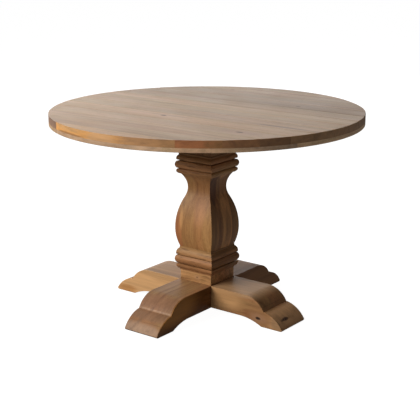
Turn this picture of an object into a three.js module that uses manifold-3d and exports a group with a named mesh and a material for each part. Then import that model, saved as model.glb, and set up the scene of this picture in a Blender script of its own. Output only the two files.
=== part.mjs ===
// Round pedestal dining table of solid wood.
//
// Thirteen edge-glued boards make the round top, and eight segments glued under their rim make
// its edge look thicker. Two half-lapped bearers and two cleats hold the boards flat. A square,
// vase-shaped column of three planks, with mitred mouldings above and below, stands on two
// half-lapped foot beams, and one tie rod clamps the bearers, column and beams together.
//
// Units are millimetres and +Z is up. The origin is on the floor under the column's centre.
// The top's boards run along X, and the feet point along +X, -X, +Y and -Y.

import * as THREE from 'three';
import { mergeVertices } from 'three/addons/utils/BufferGeometryUtils.js';
import Module from 'manifold-3d';

const wasm = await Module();
wasm.setup();

// ---------------------------------------------------------------- driving dimensions

const TABLE_HEIGHT = 780;
const GLUE_GAP = 0.3;            // the room between neighbouring pieces

const TOP_RADIUS = 594;
const TOP_FACETS = 136;          // sides of the round top; a multiple of 4 keeps it centred
const BOARD_THICKNESS = 26;
const BOARD_WIDTHS = [65, 88, 93, 97, 94, 99, 95, 92, 98, 96, 94, 97, 80];  // from -Y to +Y
const EDGE_ROUND = 2.5;          // the sanded round on the top's outer edges
const RIM_THICKNESS = 16;
const RIM_WIDTH = 80;
const RIM_SEGMENTS = 8;

const CLEAT = { offset: 350, halfLength: 340, width: 60, height: 20, endSlope: 14 };
const BEARER = { halfLength: 300, width: 70, height: 45, endSlope: 28 };

const CAPITAL_HALF = 74.5;       // half widths of the square pedestal
const CORE_HALF = 62;            // the column inside its mouldings
const NECK_HALF = 53.3;
const BELLY_HALF = 89;
const PLANK_EDGES = [-90, -14, 44, 90];   // the column's planks meet on these planes of y

const CAPITAL_BOTTOM = 617;
const UPPER_MOULDING_BOTTOM = 537;
const NECK_LEVEL = 482;
const BELLY_LEVEL = 322;
const LOWER_MOULDING_TOP = 247;
const PLINTH_TOP = 152;

const NECK_ARC = 85;             // radius of the hollow neck, seen from the side
const LOWER_BELLY_ARC = 218;

const FOOT_HEIGHT = 112;
const FOOT_WIDTH = 157;
const FOOT_REACH = 405;          // from the column's centre to a toe's tip
const SOLE_LEVEL = 1;            // the glides hold the wooden soles this far off the floor
const SOLE_START = 312;
const ARCH_LEVEL = 25;
const TOE_STEP = { reach: 322, level: 62.5 };

const GLIDE = { reach: 362, radius: 12, thickness: 4, nailRadius: 1.6, nailTop: 20 };
const ROD = { radius: 6, bottom: 21, top: 751 };
const NUT = { radius: 10.5, height: 10 };
const WASHER = { radius: 17, height: 2.4 };
const COUNTERBORE_RADIUS = 19;
const NUT_END = 2;               // the rod stands this far out of each nut
const SCREW = { headRadius: 5.5, headHeight: 4, shankRadius: 2.6, tipHeight: 5, sides: 10 };
const SCREW_DEPTH_IN_BOARD = 17;
const BEARER_SCREWS = { along: 250, across: 200, recess: 12 };
const CLEAT_SCREW_OFFSET = 200;
const ROUND_SIDES = 16;          // sides of other small round pieces
const ARC_STEPS = 8;             // steps in each arc of an outline

// ---------------------------------------------------------------- derived levels

const BOARD_UNDERSIDE = TABLE_HEIGHT - BOARD_THICKNESS;
const RIM_UNDERSIDE = BOARD_UNDERSIDE - RIM_THICKNESS;
const BEARER_TOP = BOARD_UNDERSIDE - GLUE_GAP;
const BEARER_UNDERSIDE = BOARD_UNDERSIDE - BEARER.height;
const FAR = 2000;                // past every face, for cutting tools
const QUARTER = Math.PI / 2;
const SIDES = ['right', 'back', 'left', 'front'];   // +X, +Y, -X, -Y, a quarter turn apart

// ---------------------------------------------------------------- finishes

const finish = (color, roughness = 0.55, metalness = 0) => ({ color, roughness, metalness });
const WOOD_TOP = finish(0xa98560);
const WOOD_RIM = finish(0x9a6a3e);
const WOOD_COLUMN = finish(0x9c6034);
const WOOD_MOULDING = finish(0xa3683a);
const WOOD_FOOT = finish(0x8f6240);
const WOOD_HIDDEN = finish(0x8a6a4a, 0.8);
const STEEL = finish(0x9b9b98, 0.4, 1);
const NYLON = finish(0x2b2724, 0.6);

// ---------------------------------------------------------------- solids from geometries

/** A three.js geometry as a solid: its shared points are merged and its flat triangles dropped. */
function solid(geometry) {
  const bare = geometry.index ? geometry.clone() : geometry;
  bare.deleteAttribute('normal');
  bare.deleteAttribute('uv');
  const merged = mergeVertices(bare, 1e-4);
  const corners = merged.index.array;
  const triangles = [];
  for (let i = 0; i < corners.length; i += 3) {
    const [a, b, c] = [corners[i], corners[i + 1], corners[i + 2]];
    if (a !== b && b !== c && c !== a) triangles.push(a, b, c);
  }
  return new wasm.Manifold(new wasm.Mesh({
    numProp: 3,
    vertProperties: new Float32Array(merged.attributes.position.array),
    triVerts: new Uint32Array(triangles),
  }));
}

/** A solid back as a three.js geometry. */
function geometryOf(piece) {
  const mesh = piece.getMesh();
  const geometry = new THREE.BufferGeometry();
  geometry.setAttribute('position', new THREE.BufferAttribute(mesh.vertProperties, 3));
  geometry.setIndex(new THREE.BufferAttribute(mesh.triVerts, 1));
  geometry.computeVertexNormals();
  return geometry;
}

/** A block between two levels, centred on x and y. */
function block(width, depth, bottom, top, x = 0, y = 0) {
  return solid(new THREE.BoxGeometry(width, depth, top - bottom)
    .translate(x, y, (bottom + top) / 2));
}

/** An upright cylinder between two levels, such as a hole's cutter. */
function rod(radius, bottom, top, x = 0, y = 0, sides = ROUND_SIDES) {
  return solid(new THREE.CylinderGeometry(radius, radius, top - bottom, sides)
    .rotateX(QUARTER).translate(x, y, (bottom + top) / 2));
}

/** A profile of [radius, height] points turned about the Z axis. */
function turned(profile, sides) {
  const points = profile.map(([radius, height]) => new THREE.Vector2(radius, height));
  return solid(new THREE.LatheGeometry(points, sides).rotateX(QUARTER));
}

/** An outline in x and z, pushed along y, and centred on y = 0. */
function slab(points, depth) {
  return solid(new THREE.ExtrudeGeometry(new THREE.Shape(points), {
    depth, bevelEnabled: false,
  }).rotateX(QUARTER).translate(0, depth / 2, 0));
}

/** The space between two upright planes that meet at the axis, with half a glue gap off each. */
function wedge(halfAngle, reach, bottom, top) {
  const tip = GLUE_GAP / 2 / Math.sin(halfAngle);
  const halfWidth = (reach - tip) * Math.tan(halfAngle);
  const outline = new THREE.Shape([
    new THREE.Vector2(tip, 0),
    new THREE.Vector2(reach, -halfWidth),
    new THREE.Vector2(reach, halfWidth),
  ]);
  return solid(new THREE.ExtrudeGeometry(outline, { depth: top - bottom, bevelEnabled: false })
    .translate(0, 0, bottom));
}

/** Continue a path with the circle's arc through a middle point to an end point. */
function arcThrough(path, middle, end) {
  const start = path.currentPoint.clone();
  const [mx, my] = [middle[0] - start.x, middle[1] - start.y];
  const [ex, ey] = [end[0] - start.x, end[1] - start.y];
  const cross = 2 * (mx * ey - my * ex);
  const cx = (ey * (mx * mx + my * my) - my * (ex * ex + ey * ey)) / cross;
  const cy = (mx * (ex * ex + ey * ey) - ex * (mx * mx + my * my)) / cross;
  path.absarc(start.x + cx, start.y + cy, Math.hypot(cx, cy),
    Math.atan2(-cy, -cx), Math.atan2(ey - cy, ex - cx), cross < 0);
}

/** A path's points, with none given twice. */
function pointsOf(path) {
  const points = path.getPoints(ARC_STEPS);
  return points.filter((point, i) => i === 0 || point.distanceTo(points[i - 1]) > 1e-3);
}

// ---------------------------------------------------------------- the object and its pieces

const table = new THREE.Group();
table.name = 'round_pedestal_table';

/** Add one piece to the table as its own named mesh, turned about the table's axis. */
function add(name, piece, look, turn = 0) {
  const mesh = new THREE.Mesh(geometryOf(piece), new THREE.MeshStandardMaterial(look));
  mesh.name = name;
  mesh.rotation.z = turn;
  table.add(mesh);
}

/** Take each cutter away from a solid. */
function cut(piece, ...cutters) {
  return cutters.reduce((rest, cutter) => rest.subtract(cutter), piece);
}

/** Where each screw stands and how deep it goes in: x, y, the head's level and the tip's level. */
const SCREW_TIP = BOARD_UNDERSIDE + SCREW_DEPTH_IN_BOARD;
const bearerScrews = [
  [BEARER_SCREWS.along, 0], [0, BEARER_SCREWS.across],
  [-BEARER_SCREWS.along, 0], [0, -BEARER_SCREWS.across],
].map(([x, y]) => ({ x, y, head: BEARER_UNDERSIDE + BEARER_SCREWS.recess }));
const cleatScrews = [[1, 1], [-1, 1], [-1, -1], [1, -1]].map(([sideX, sideY]) => ({
  x: sideX * CLEAT.offset,
  y: sideY * CLEAT_SCREW_OFFSET,
  head: BOARD_UNDERSIDE - CLEAT.height,
}));

/** The hole that a screw needs, with room for its head below it. */
function screwHole({ x, y, head }) {
  const { headRadius, headHeight, shankRadius, sides } = SCREW;
  return rod(shankRadius + GLUE_GAP, head, SCREW_TIP + GLUE_GAP, x, y, sides)
    .add(rod(headRadius + GLUE_GAP, head - FAR, head + headHeight + GLUE_GAP, x, y, sides));
}
const screwHoles = [...bearerScrews, ...cleatScrews].map(screwHole);

// The top: boards cut from one disc, each a glue gap narrower than its place.
function addBoards() {
  const round = TOP_RADIUS - EDGE_ROUND;
  const disc = turned([
    [0, BOARD_UNDERSIDE], [TOP_RADIUS, BOARD_UNDERSIDE],
    [TOP_RADIUS, TABLE_HEIGHT - EDGE_ROUND],
    [round + EDGE_ROUND * Math.SQRT1_2, TABLE_HEIGHT - EDGE_ROUND * (1 - Math.SQRT1_2)],
    [round, TABLE_HEIGHT], [0, TABLE_HEIGHT],
  ], TOP_FACETS);
  let edge = -TOP_RADIUS;
  BOARD_WIDTHS.forEach((width, i) => {
    const place = block(FAR, width - GLUE_GAP, 0, FAR, 0, edge + width / 2);
    const board = cut(disc.intersect(place), ...screwHoles);
    add(`top_board_${String(i + 1).padStart(2, '0')}`, board, WOOD_TOP);
    edge += width;
  });
}

// The rim: a ring under the boards' edge, in mitred segments.
function addRim() {
  const inner = TOP_RADIUS - RIM_WIDTH;
  const top = BOARD_UNDERSIDE - GLUE_GAP;
  const round = TOP_RADIUS - EDGE_ROUND;
  const ring = turned([
    [inner, RIM_UNDERSIDE], [round, RIM_UNDERSIDE],
    [round + EDGE_ROUND * Math.SQRT1_2, RIM_UNDERSIDE + EDGE_ROUND * (1 - Math.SQRT1_2)],
    [TOP_RADIUS, RIM_UNDERSIDE + EDGE_ROUND],
    [TOP_RADIUS, top], [inner, top], [inner, RIM_UNDERSIDE],
  ], TOP_FACETS);
  const segment = ring.intersect(wedge(Math.PI / RIM_SEGMENTS, FAR, 0, FAR));
  for (let i = 0; i < RIM_SEGMENTS; i += 1) {
    add(`rim_segment_${i + 1}`, segment, WOOD_RIM, (i * 2 * Math.PI) / RIM_SEGMENTS);
  }
}

/** A beam along X under the top, with its lower edges sloped at both ends. */
function slopedBeam({ halfLength, width, height, endSlope }) {
  const bottom = BOARD_UNDERSIDE - height;
  const shoulder = bottom + height / 3;
  const ends = [
    [-halfLength, BEARER_TOP], [-halfLength, shoulder], [-halfLength + endSlope, bottom],
    [halfLength - endSlope, bottom], [halfLength, shoulder], [halfLength, BEARER_TOP],
  ];
  return slab(ends.map(([x, z]) => new THREE.Vector2(x, z)), width);
}

// Two cleats across the boards keep them flat.
function addCleats() {
  const beam = slopedBeam(CLEAT).rotate([0, 0, 90]);
  [['cleat_left', -CLEAT.offset], ['cleat_right', CLEAT.offset]].forEach(([name, x]) => {
    add(name, cut(beam.translate([x, 0, 0]), ...screwHoles), WOOD_HIDDEN);
  });
}

/** What a half lap takes out of a beam: the crossing beam's width, above or below the lap. */
function lap(width, lapLevel, above) {
  const opening = width + 2 * GLUE_GAP;
  const [bottom, top] = above ? [lapLevel - GLUE_GAP / 2, FAR] : [-FAR, lapLevel + GLUE_GAP / 2];
  return block(opening, opening, bottom, top);
}

// Two bearers, half-lapped over the column, carry the top.
function addBearers() {
  const lapLevel = BEARER_UNDERSIDE + BEARER.height / 2;
  const nutRoom = rod(COUNTERBORE_RADIUS, ROD.top - NUT_END - NUT.height - WASHER.height
    - 2 * GLUE_GAP, FAR);
  const rodHole = rod(ROD.radius + GLUE_GAP, 0, FAR);
  const holes = [nutRoom, rodHole, ...screwHoles];
  const beam = slopedBeam(BEARER);
  add('bearer_along', cut(beam, lap(BEARER.width, lapLevel, true), ...holes), WOOD_HIDDEN);
  add('bearer_across', cut(beam.rotate([0, 0, 90]), lap(BEARER.width, lapLevel, false), ...holes),
    WOOD_HIDDEN);
}

/** The square vase between its mouldings, as half-width and height from bottom to top. */
function vaseOutline() {
  const bellyCentre = BELLY_HALF - LOWER_BELLY_ARC;
  const neckCentre = NECK_HALF + NECK_ARC;
  const rise = NECK_LEVEL - BELLY_LEVEL;
  const overlap = neckCentre - BELLY_HALF;
  const upperArc = (overlap ** 2 + rise ** 2 - NECK_ARC ** 2) / (2 * (NECK_ARC - overlap));
  const slope = Math.asin(rise / (upperArc + NECK_ARC));
  const path = new THREE.Path();
  path.absarc(bellyCentre, BELLY_LEVEL, LOWER_BELLY_ARC,
    -Math.asin((BELLY_LEVEL - LOWER_MOULDING_TOP) / LOWER_BELLY_ARC), 0, false);
  path.absarc(BELLY_HALF - upperArc, BELLY_LEVEL, upperArc, 0, slope, false);
  path.absarc(neckCentre, NECK_LEVEL, NECK_ARC, Math.PI + slope,
    Math.PI - Math.asin((UPPER_MOULDING_BOTTOM - NECK_LEVEL) / NECK_ARC), true);
  return pointsOf(path);
}

// The column: three planks, narrowed where the mouldings wrap them, with the rod's hole.
function addColumn() {
  const bottom = PLINTH_TOP + GLUE_GAP;
  const top = CAPITAL_BOTTOM - GLUE_GAP;
  const right = [
    new THREE.Vector2(CORE_HALF, bottom),
    new THREE.Vector2(CORE_HALF, LOWER_MOULDING_TOP),
    ...vaseOutline(),
    new THREE.Vector2(CORE_HALF, UPPER_MOULDING_BOTTOM),
    new THREE.Vector2(CORE_HALF, top),
  ];
  const left = right.map((point) => new THREE.Vector2(-point.x, point.y)).reverse();
  const profile = slab([...right, ...left], 2 * BELLY_HALF);
  const column = cut(profile.intersect(profile.rotate([0, 0, 90])),
    rod(ROD.radius + GLUE_GAP, 0, FAR));
  ['front', 'middle', 'back'].forEach((place, i) => {
    const [start, end] = [PLANK_EDGES[i], PLANK_EDGES[i + 1]];
    const plank = block(FAR, end - start - GLUE_GAP, 0, FAR, 0, (start + end) / 2);
    add(`column_plank_${place}`, column.intersect(plank), WOOD_COLUMN);
  });
}

/** The upper moulding's face: a cap, a broad torus and a small ogee, from bottom to top. */
function upperMoulding() {
  const face = new THREE.Path();
  face.moveTo(78.5, UPPER_MOULDING_BOTTOM + GLUE_GAP);
  face.lineTo(79.5, 539);
  arcThrough(face, [84.7, 547], [81, 556]);
  face.lineTo(83, 557.5);
  arcThrough(face, [88.4, 572], [83, 586.5]);
  face.lineTo(79.7, 588.5);
  face.lineTo(83.4, 590.5);
  arcThrough(face, [83.6, 601.5], [77.5, 610]);
  face.lineTo(77.5, CAPITAL_BOTTOM - GLUE_GAP);
  return face;
}

/** The lower moulding's face: an ovolo over the plinth, a broad torus and a rising ogee. */
function lowerMoulding() {
  const face = new THREE.Path();
  face.moveTo(76.5, PLINTH_TOP + GLUE_GAP);
  face.lineTo(76.5, 156);
  arcThrough(face, [82.5, 160.5], [86, 168]);
  face.lineTo(86, 176.5);
  face.lineTo(83.5, 179);
  arcThrough(face, [90.8, 195.5], [84.5, 212]);
  face.lineTo(86.4, 213.5);
  arcThrough(face, [85.6, 228.5], [76.5, 241]);
  face.lineTo(76.5, LOWER_MOULDING_TOP - GLUE_GAP);
  return face;
}

// Each moulding is four mitred strips round the column's core.
function addMoulding(name, face) {
  const outline = pointsOf(face);
  const inner = CORE_HALF + GLUE_GAP;
  const strip = [
    new THREE.Vector2(inner, outline[0].y), ...outline,
    new THREE.Vector2(inner, outline.at(-1).y),
  ];
  const mitred = slab(strip, 4 * BELLY_HALF).intersect(wedge(QUARTER / 2, FAR, 0, FAR));
  SIDES.forEach((side, i) => add(`${name}_${side}`, mitred, WOOD_MOULDING, i * QUARTER));
}

// The square blocks that end the column.
function addEndBlocks() {
  const width = 2 * CAPITAL_HALF;
  const rodHole = rod(ROD.radius + GLUE_GAP, 0, FAR);
  add('capital_block', cut(block(width, width, CAPITAL_BOTTOM, BEARER_UNDERSIDE - GLUE_GAP),
    rodHole), WOOD_COLUMN);
  add('plinth_block', cut(block(width, width, FOOT_HEIGHT + GLUE_GAP, PLINTH_TOP), rodHole),
    WOOD_MOULDING);
}

/** Half of a foot beam's side outline, from the top's centre round the toe to the arch's centre. */
function footOutline() {
  const shoulder = 238;
  const drop = 96;
  const path = new THREE.Path();
  path.moveTo(shoulder, FOOT_HEIGHT);
  path.absarc(shoulder, FOOT_HEIGHT - drop, drop, QUARTER,
    Math.acos((TOE_STEP.reach - shoulder) / drop), true);
  path.lineTo(TOE_STEP.reach + 1, TOE_STEP.level);
  arcThrough(path, [371, 43.5], [FOOT_REACH, 4]);
  path.lineTo(FOOT_REACH - 2, SOLE_LEVEL);
  path.lineTo(SOLE_START, SOLE_LEVEL);
  path.bezierCurveTo(295, 9, 262, ARCH_LEVEL, 213, ARCH_LEVEL);
  return pointsOf(path);
}

// Two foot beams, half-lapped under the column, stand on nailed glides.
function addFeet() {
  const right = footOutline();
  const left = right.map((point) => new THREE.Vector2(-point.x, point.y)).reverse();
  const lapLevel = FOOT_HEIGHT / 2;
  const nutRoom = rod(COUNTERBORE_RADIUS, -FAR, ROD.bottom + NUT_END + NUT.height
    + WASHER.height + 2 * GLUE_GAP);
  const glideRooms = SIDES.map((side, i) => {
    const x = GLIDE.reach * Math.cos(i * QUARTER);
    const y = GLIDE.reach * Math.sin(i * QUARTER);
    return rod(GLIDE.radius + GLUE_GAP, -FAR, GLIDE.thickness + GLUE_GAP, x, y)
      .add(rod(GLIDE.nailRadius + GLUE_GAP, 0, GLIDE.nailTop + GLUE_GAP, x, y));
  });
  const holes = [nutRoom, rod(ROD.radius + GLUE_GAP, 0, FAR), ...glideRooms];
  const beam = slab([...right, ...left], FOOT_WIDTH);
  add('foot_beam_along', cut(beam, lap(FOOT_WIDTH, lapLevel, true), ...holes), WOOD_FOOT);
  add('foot_beam_across', cut(beam.rotate([0, 0, 90]), lap(FOOT_WIDTH, lapLevel, false), ...holes),
    WOOD_FOOT);
}

// One nylon glide with its nail under each toe.
function addGlides() {
  const { reach, radius, thickness, nailRadius, nailTop } = GLIDE;
  const glide = turned([
    [0, 0], [radius - 1, 0], [radius, 1], [radius, thickness], [nailRadius, thickness],
    [nailRadius, nailTop - 3], [0, nailTop],
  ], ROUND_SIDES).translate([reach, 0, 0]);
  SIDES.forEach((side, i) => add(`glide_${side}`, glide, NYLON, i * QUARTER));
}

// The tie rod with a washer and a nut at each end.
function addTieRod() {
  const hole = rod(ROD.radius + GLUE_GAP, 0, FAR);
  const ring = (radius, bottom, height, sides) => (
    cut(rod(radius, bottom, bottom + height, 0, 0, sides), hole));
  const lowerNut = ROD.bottom + NUT_END;
  const upperNut = ROD.top - NUT_END - NUT.height;
  const hexagon = 6;
  add('tie_rod', rod(ROD.radius, ROD.bottom, ROD.top), STEEL);
  add('tie_rod_nut_lower', ring(NUT.radius, lowerNut, NUT.height, hexagon), STEEL);
  add('tie_rod_washer_lower', ring(WASHER.radius, lowerNut + NUT.height + GLUE_GAP,
    WASHER.height, ROUND_SIDES), STEEL);
  add('tie_rod_nut_upper', ring(NUT.radius, upperNut, NUT.height, hexagon), STEEL);
  add('tie_rod_washer_upper', ring(WASHER.radius, upperNut - GLUE_GAP - WASHER.height,
    WASHER.height, ROUND_SIDES), STEEL);
}

// Countersunk wood screws up through the bearers and cleats into the boards.
function addScrews() {
  const screw = ({ x, y, head }) => turned([
    [0, head], [SCREW.headRadius, head], [SCREW.shankRadius, head + SCREW.headHeight],
    [SCREW.shankRadius, SCREW_TIP - SCREW.tipHeight], [0, SCREW_TIP],
  ], SCREW.sides).translate([x, y, 0]);
  bearerScrews.forEach((place, i) => add(`bearer_screw_${i + 1}`, screw(place), STEEL));
  cleatScrews.forEach((place, i) => add(`cleat_screw_${i + 1}`, screw(place), STEEL));
}

addBoards();
addRim();
addCleats();
addBearers();
addColumn();
addMoulding('upper_moulding', upperMoulding());
addMoulding('lower_moulding', lowerMoulding());
addEndBlocks();
addFeet();
addGlides();
addTieRod();
addScrews();

export default table;
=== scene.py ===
"""A round pedestal dining table of solid brown wood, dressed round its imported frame.

Each sub-assembly is a class with its sizes as fields: the round top, the frame under it, the
vase-shaped column, the square mouldings, the end blocks, the crossed feet and the ironmongery.
Lengths are in metres and +Z is up. The top's boards run along X.
"""

import logging
import math
from dataclasses import dataclass, field
from enum import Enum
from typing import Any, Iterable, Sequence

import bmesh
import bpy
from mathutils import Matrix, Vector


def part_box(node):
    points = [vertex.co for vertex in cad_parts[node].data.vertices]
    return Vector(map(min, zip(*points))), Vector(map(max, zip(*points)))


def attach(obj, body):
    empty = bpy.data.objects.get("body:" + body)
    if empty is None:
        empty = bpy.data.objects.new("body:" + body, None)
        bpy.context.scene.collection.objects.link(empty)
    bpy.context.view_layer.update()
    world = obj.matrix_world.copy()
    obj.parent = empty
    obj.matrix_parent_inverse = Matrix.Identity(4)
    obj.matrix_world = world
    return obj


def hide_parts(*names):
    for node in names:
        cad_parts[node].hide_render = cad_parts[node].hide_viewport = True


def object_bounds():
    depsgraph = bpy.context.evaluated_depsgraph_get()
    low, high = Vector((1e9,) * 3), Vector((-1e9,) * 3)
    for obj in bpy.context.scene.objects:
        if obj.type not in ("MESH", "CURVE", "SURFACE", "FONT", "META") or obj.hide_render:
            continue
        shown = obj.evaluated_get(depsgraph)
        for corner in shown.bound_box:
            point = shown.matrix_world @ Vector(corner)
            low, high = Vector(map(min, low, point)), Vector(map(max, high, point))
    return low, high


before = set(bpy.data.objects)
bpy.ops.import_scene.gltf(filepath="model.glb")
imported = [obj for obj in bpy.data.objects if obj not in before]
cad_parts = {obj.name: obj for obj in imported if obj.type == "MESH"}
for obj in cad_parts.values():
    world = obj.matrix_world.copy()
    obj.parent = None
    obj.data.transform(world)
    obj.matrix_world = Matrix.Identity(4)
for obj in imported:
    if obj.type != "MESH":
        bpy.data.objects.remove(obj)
CAD_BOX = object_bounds()

MM = 0.001
QUARTER_TURN = math.pi / 2
GLUE_GAP = 0.3 * MM
TABLE_TOP = CAD_BOX[1].z
TOP_RADIUS = CAD_BOX[1].x
ORIGIN = (0.0, 0.0, 0.0)

log = logging.getLogger("pedestal_table")

Colour = tuple[float, float, float]
Place = tuple[float, float, float]


# ------------------------------------------------------------------ shader wiring


class Wire:
    """One node socket that takes part in a Python expression."""

    def __init__(self, bench: "NodeBench", socket: bpy.types.NodeSocket) -> None:
        """Hold a socket and the bench that makes its Math nodes.

        Args:
            bench: The bench of the socket's own node tree.
            socket: An output socket.
        """
        self.bench = bench
        self.socket = socket

    def _with(self, operation: str, first: Any, second: Any) -> "Wire":
        """Return a Math node's result on two values or wires.

        Args:
            operation: The Math node's operation.
            first: A wire or a number.
            second: A wire or a number.

        Returns:
            The wire of the node's value.
        """
        return self.bench.node("ShaderNodeMath", {"operation": operation}, {0: first, 1: second})

    def __add__(self, other: Any) -> "Wire":
        """Return self + other."""
        return self._with("ADD", self, other)

    def __radd__(self, other: Any) -> "Wire":
        """Return other + self."""
        return self._with("ADD", other, self)

    def __sub__(self, other: Any) -> "Wire":
        """Return self - other."""
        return self._with("SUBTRACT", self, other)

    def __rsub__(self, other: Any) -> "Wire":
        """Return other - self."""
        return self._with("SUBTRACT", other, self)

    def __mul__(self, other: Any) -> "Wire":
        """Return self * other."""
        return self._with("MULTIPLY", self, other)

    def __rmul__(self, other: Any) -> "Wire":
        """Return other * self."""
        return self._with("MULTIPLY", other, self)

    def __pow__(self, other: Any) -> "Wire":
        """Return self to the power of other."""
        return self._with("POWER", self, other)

    def __abs__(self) -> "Wire":
        """Return the wire's size without its sign."""
        return self._with("ABSOLUTE", self, 0.0)

    def wave(self) -> "Wire":
        """Return the sine of the wire, in radians."""
        return self._with("SINE", self, 0.0)

    def between(self, low: float, high: float) -> "Wire":
        """Return a smooth step, 0 at low and 1 at high.

        Args:
            low: Where the step starts. It may be above high, and the step then falls.
            high: Where the step ends.

        Returns:
            The step, from 0 to 1.
        """
        return self.bench.node(
            "ShaderNodeMapRange",
            {"interpolation_type": "SMOOTHSTEP"},
            {"Value": self, "From Min": low, "From Max": high},
        )


class NodeBench:
    """Makes the nodes of one material."""

    def __init__(self, name: str) -> None:
        """Start a material with only a Principled shader.

        Args:
            name: The material's name.
        """
        self.material = bpy.data.materials.new(name)
        self.material.use_nodes = True
        self.tree = self.material.node_tree
        self.shader = next(n for n in self.tree.nodes if n.type == "BSDF_PRINCIPLED")

    def node(
        self,
        kind: str,
        settings: dict[str, Any] | None = None,
        inputs: dict[Any, Any] | None = None,
        output: int | str = 0,
    ) -> Wire:
        """Make one node.

        Args:
            kind: The node's type.
            settings: Its own properties, set first. "stops" holds a colour ramp's stops.
            inputs: A value or a wire for each named or numbered input socket.
            output: The output socket that the caller wants.

        Returns:
            The wire of that output.
        """
        made = self.tree.nodes.new(kind)
        for key, value in (settings or {}).items():
            if key == "stops":
                self._set_stops(made.color_ramp, value)
            else:
                setattr(made, key, value)
        for key, value in (inputs or {}).items():
            if isinstance(value, Wire):
                self.tree.links.new(value.socket, made.inputs[key])
            else:
                made.inputs[key].default_value = value
        return Wire(self, made.outputs[output])

    @staticmethod
    def _set_stops(ramp: bpy.types.ColorRamp, stops: Sequence[tuple[float, Colour]]) -> None:
        """Give a colour ramp its stops.

        Args:
            ramp: The ramp.
            stops: Places from 0 to 1 with their colours, from left to right.
        """
        while len(ramp.elements) < len(stops):
            ramp.elements.new(1.0)
        for element, (place, colour) in zip(ramp.elements, stops):
            element.position = place
            element.color = (*colour, 1.0)

    def mixed(self, factor: Any, first: Any, second: Any, blend: str = "MIX") -> Wire:
        """Mix two colours.

        Args:
            factor: How much of the second colour, as a wire or a number.
            first: A colour or its wire.
            second: A colour or its wire.
            blend: The Mix node's blend type.

        Returns:
            The mixed colour.
        """
        first, second = ((*c, 1.0) if isinstance(c, tuple) else c for c in (first, second))
        settings = {"data_type": "RGBA", "blend_type": blend, "clamp_factor": True}
        return self.node("ShaderNodeMix", settings, {0: factor, 6: first, 7: second}, 2)

    def here(self) -> Wire:
        """The point of the surface, in the piece's own coordinates."""
        return self.node("ShaderNodeTexCoord", output="Object")

    def vector(self, operation: str, first: Any, second: Any, output: str = "Vector") -> Wire:
        """Return a Vector Math node's result.

        Args:
            operation: The node's operation.
            first: A vector or its wire.
            second: A vector or its wire.
            output: "Vector", or "Value" where the result is a number.

        Returns:
            The result.
        """
        return self.node("ShaderNodeVectorMath", {"operation": operation}, {0: first, 1: second}, output)

    def placed(self, turn: Place, shift: Place) -> Wire:
        """The piece's own coordinates, turned and shifted.

        Args:
            turn: Turns about X, Y and Z, in radians.
            shift: How far the pattern lies off the piece's own origin.

        Returns:
            The coordinates.
        """
        inputs = {"Vector": self.here(), "Location": shift, "Rotation": turn}
        return self.node("ShaderNodeMapping", {"vector_type": "POINT"}, inputs)

    def distance(self, point: Place, scale: Place) -> Wire:
        """How far the surface lies from a point, with its own scale on each axis.

        Args:
            point: The point.
            scale: What the distance along each axis is multiplied by.

        Returns:
            The distance.
        """
        away = self.vector("MULTIPLY", self.vector("SUBTRACT", self.here(), point), scale)
        return self.vector("LENGTH", away, ORIGIN, "Value")

    def noise(self, place: Wire, scale: Place, detail: float = 2.0, rough: float = 0.5) -> Wire:
        """Soft noise with its own scale on each axis.

        Args:
            place: The coordinates to read.
            scale: The noise's frequency along each axis, per metre.
            detail: The noise's octaves.
            rough: How strong the finer octaves are.

        Returns:
            The noise, mostly from 0.3 to 0.7.
        """
        stretched = self.vector("MULTIPLY", place, scale)
        inputs = {"Vector": stretched, "Scale": 1.0, "Detail": detail, "Roughness": rough}
        return self.node("ShaderNodeTexNoise", {"noise_dimensions": "3D"}, inputs)

    def feed(self, **sockets: Any) -> None:
        """Set or link the shader's sockets.

        Args:
            sockets: A value or a wire for each socket, named with _ for a space.
        """
        for name, value in sockets.items():
            socket = self.shader.inputs[name.replace("_", " ")]
            if isinstance(value, Wire):
                self.tree.links.new(value.socket, socket)
            else:
                socket.default_value = value


# ------------------------------------------------------------------ finishes


class Grain(Enum):
    """Which way a piece's grain runs, as the turns that bring it onto the pattern's X axis."""

    ALONG_X = (0.0, 0.0, 0.0)
    ALONG_Y = (0.0, 0.0, -QUARTER_TURN)
    UPRIGHT = (0.0, QUARTER_TURN, 0.0)


@dataclass(frozen=True)
class Knot:
    """A knot: its centre, its size, and the tone of the wood that flows round it."""

    at: Place
    radius: float
    dark: float = 0.9
    halo: Colour = (0.42, 0.24, 0.16)
    halo_strength: float = 0.35


@dataclass(frozen=True)
class Patch:
    """A soft-edged patch of another colour: mostly the wood's own, but some on the feet and the rim are
    painted shade, painted sheen and painted light.

    With a facing, it lies only on that side of a plane through the table's axis. On the rim, it
    lies only on the top's round outer edge.
    """

    at: Place
    reach: Place
    colour: Colour
    strength: float = 0.8
    facing: Place | None = None
    on_rim: bool = False


@dataclass(frozen=True)
class Timber:
    """What tells one piece of wood from the next: its grain, its figure and its tone.

    The layers are the levels of its glue lines, and the edge is its colour on the top's rim.
    """

    grain: Grain
    seed: float
    tone: float = 1.0
    warmth: float = 0.0
    knots: tuple[Knot, ...] = ()
    layers: tuple[float, ...] = ()
    patches: tuple[Patch, ...] = ()
    edge: Colour | None = None


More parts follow.
